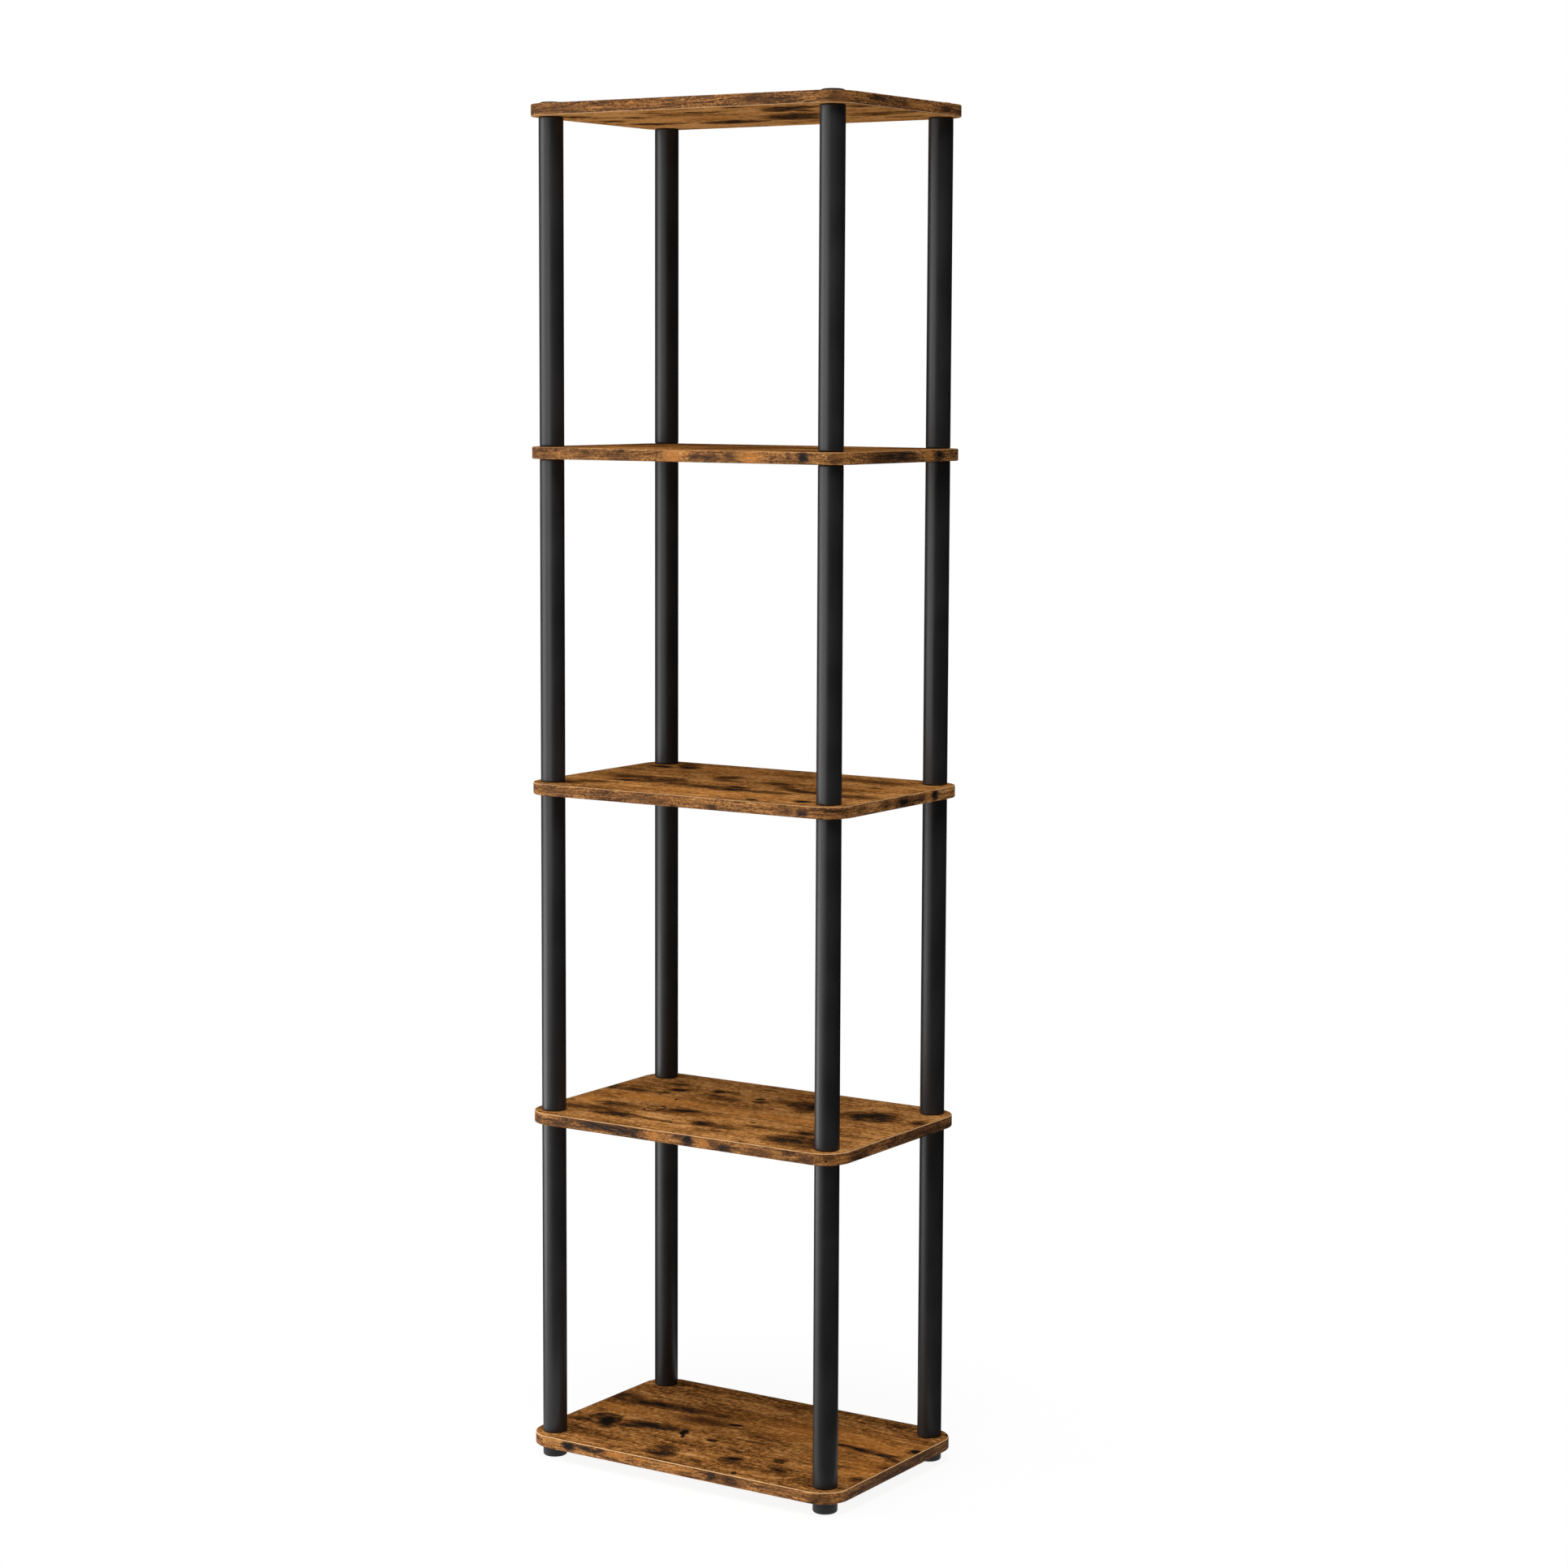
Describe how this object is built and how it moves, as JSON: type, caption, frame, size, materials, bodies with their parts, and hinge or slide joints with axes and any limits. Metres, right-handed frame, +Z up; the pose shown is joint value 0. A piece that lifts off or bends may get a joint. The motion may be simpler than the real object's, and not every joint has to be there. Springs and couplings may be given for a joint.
{
  "type": "shelving rack",
  "caption": "Tall open shelving rack: wood-faced boards with rounded corners clamped between black tubes that screw together, on short feet, with low caps on top.",
  "frame": {"origin": "on the floor, under the middle of the rack", "axes": "+Z up, X along the shelves' long side, Y along their short side, -Y at the front"},
  "size_m": [0.4, 0.262, 1.468],
  "materials": {
    "shelf_board": "rustic brown wood-print foil on particleboard, satin",
    "edge_band": "wood-print edge strip, grain along the edge, satin",
    "tube": "smooth satin black",
    "end_plug": "moulded satin black",
    "foot": "moulded matte black",
    "cap": "moulded matte black"
  },
  "bodies": {
    "root": {"shelf_1": "shelf_board", "shelf_2": "shelf_board", "shelf_3": "shelf_board", "shelf_4": "shelf_board", "shelf_5": "shelf_board", "edge_band_1": "edge_band", "edge_band_2": "edge_band", "edge_band_3": "edge_band", "edge_band_4": "edge_band", "edge_band_5": "edge_band", "tube_1_front_left": "tube", "tube_1_front_right": "tube", "tube_1_back_right": "tube", "tube_1_back_left": "tube", "tube_2_front_left": "tube", "tube_2_front_right": "tube", "tube_2_back_right": "tube", "tube_2_back_left": "tube", "tube_3_front_left": "tube", "tube_3_front_right": "tube", "tube_3_back_right": "tube", "tube_3_back_left": "tube", "tube_4_front_left": "tube", "tube_4_front_right": "tube", "tube_4_back_right": "tube", "tube_4_back_left": "tube", "stud_plugs_1": "end_plug", "stud_plugs_2": "end_plug", "stud_plugs_3": "end_plug", "stud_plugs_4": "end_plug", "socket_plugs_1": "end_plug", "socket_plugs_2": "end_plug", "socket_plugs_3": "end_plug", "socket_plugs_4": "end_plug", "foot_front_left": "foot", "foot_front_right": "foot", "foot_back_right": "foot", "foot_back_left": "foot", "cap_front_left": "cap", "cap_front_right": "cap", "cap_back_right": "cap", "cap_back_left": "cap"}
  },
  "joints": []
}
